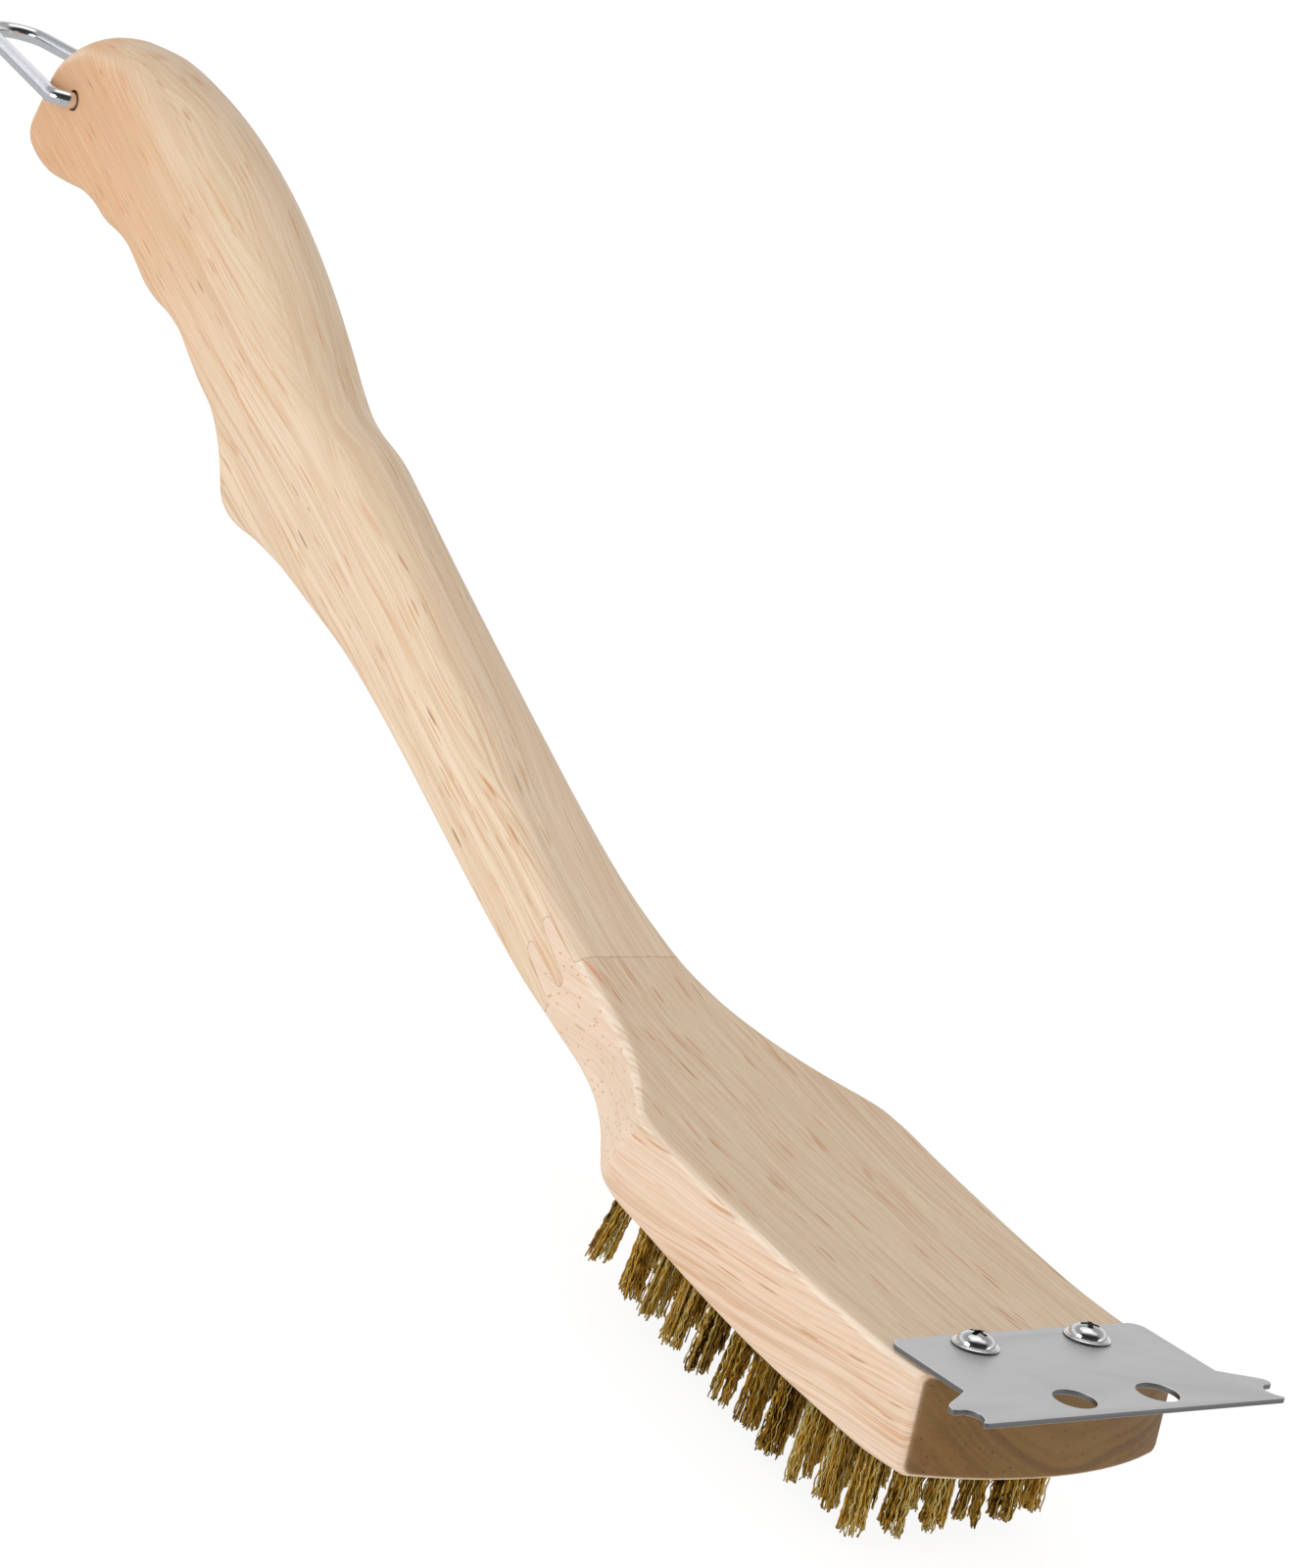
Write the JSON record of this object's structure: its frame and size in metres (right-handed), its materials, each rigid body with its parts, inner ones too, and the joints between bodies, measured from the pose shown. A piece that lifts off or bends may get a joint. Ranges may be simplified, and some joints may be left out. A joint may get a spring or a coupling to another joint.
{
  "type": "barbecue grill brush",
  "caption": "Long-handled wooden grill-cleaning brush with brass-wire tufts, a notched steel scraper plate on the nose and a swinging wire hanging ring in the butt",
  "frame": {"origin": "middle of the scraper plate's straight front edge, the foremost point of the brush", "axes": "+X along the level rows of bristle tips, out past the scraper edge; -Z is the way the bristles point, down onto the grate; the brush is symmetric about the XZ plane"},
  "size_m": [0.5226, 0.077, 0.1445],
  "materials": {
    "handle_wood": "satin lacquer",
    "head_wood": "satin lacquer",
    "scraper_steel": "satin",
    "screw_steel": "polished",
    "ring_steel": "polished",
    "bristle_brass": "crimped wire"
  },
  "bodies": {
    "brush": {"handle": "handle_wood", "head_block": "head_wood", "scraper_plate": "scraper_steel", "screw_left": "screw_steel", "screw_right": "screw_steel", "bristle_tuft_a01": "bristle_brass", "bristle_tuft_a02": "bristle_brass", "bristle_tuft_a03": "bristle_brass", "bristle_tuft_a04": "bristle_brass", "bristle_tuft_a05": "bristle_brass", "bristle_tuft_a06": "bristle_brass", "bristle_tuft_a07": "bristle_brass", "bristle_tuft_a08": "bristle_brass", "bristle_tuft_a09": "bristle_brass", "bristle_tuft_a10": "bristle_brass", "bristle_tuft_a11": "bristle_brass", "bristle_tuft_b01": "bristle_brass", "bristle_tuft_b02": "bristle_brass", "bristle_tuft_b04": "bristle_brass", "bristle_tuft_b05": "bristle_brass", "bristle_tuft_b07": "bristle_brass", "bristle_tuft_b08": "bristle_brass", "bristle_tuft_b10": "bristle_brass", "bristle_tuft_b11": "bristle_brass", "bristle_tuft_c01": "bristle_brass", "bristle_tuft_c02": "bristle_brass", "bristle_tuft_c04": "bristle_brass", "bristle_tuft_c05": "bristle_brass", "bristle_tuft_c07": "bristle_brass", "bristle_tuft_c08": "bristle_brass", "bristle_tuft_c10": "bristle_brass", "bristle_tuft_c11": "bristle_brass", "bristle_tuft_d01": "bristle_brass", "bristle_tuft_d02": "bristle_brass", "bristle_tuft_d04": "bristle_brass", "bristle_tuft_d05": "bristle_brass", "bristle_tuft_d07": "bristle_brass", "bristle_tuft_d08": "bristle_brass", "bristle_tuft_d10": "bristle_brass", "bristle_tuft_d11": "bristle_brass", "bristle_tuft_e01": "bristle_brass", "bristle_tuft_e02": "bristle_brass", "bristle_tuft_e04": "bristle_brass", "bristle_tuft_e05": "bristle_brass", "bristle_tuft_e07": "bristle_brass", "bristle_tuft_e08": "bristle_brass", "bristle_tuft_e10": "bristle_brass", "bristle_tuft_e11": "bristle_brass", "bristle_tuft_f01": "bristle_brass", "bristle_tuft_f02": "bristle_brass", "bristle_tuft_f03": "bristle_brass", "bristle_tuft_f04": "bristle_brass", "bristle_tuft_f05": "bristle_brass", "bristle_tuft_f06": "bristle_brass", "bristle_tuft_f07": "bristle_brass", "bristle_tuft_f08": "bristle_brass", "bristle_tuft_f09": "bristle_brass", "bristle_tuft_f10": "bristle_brass", "bristle_tuft_f11": "bristle_brass"},
    "ring": {"hanging_ring": "ring_steel"}
  },
  "joints": [
    {"name": "ring_swing", "type": "hinge", "parent": "brush", "child": "ring", "pos_m": [-0.45654, 0, 0.07564], "axis": [0, 1, 0], "range_deg": [-127, 150]}
  ]
}
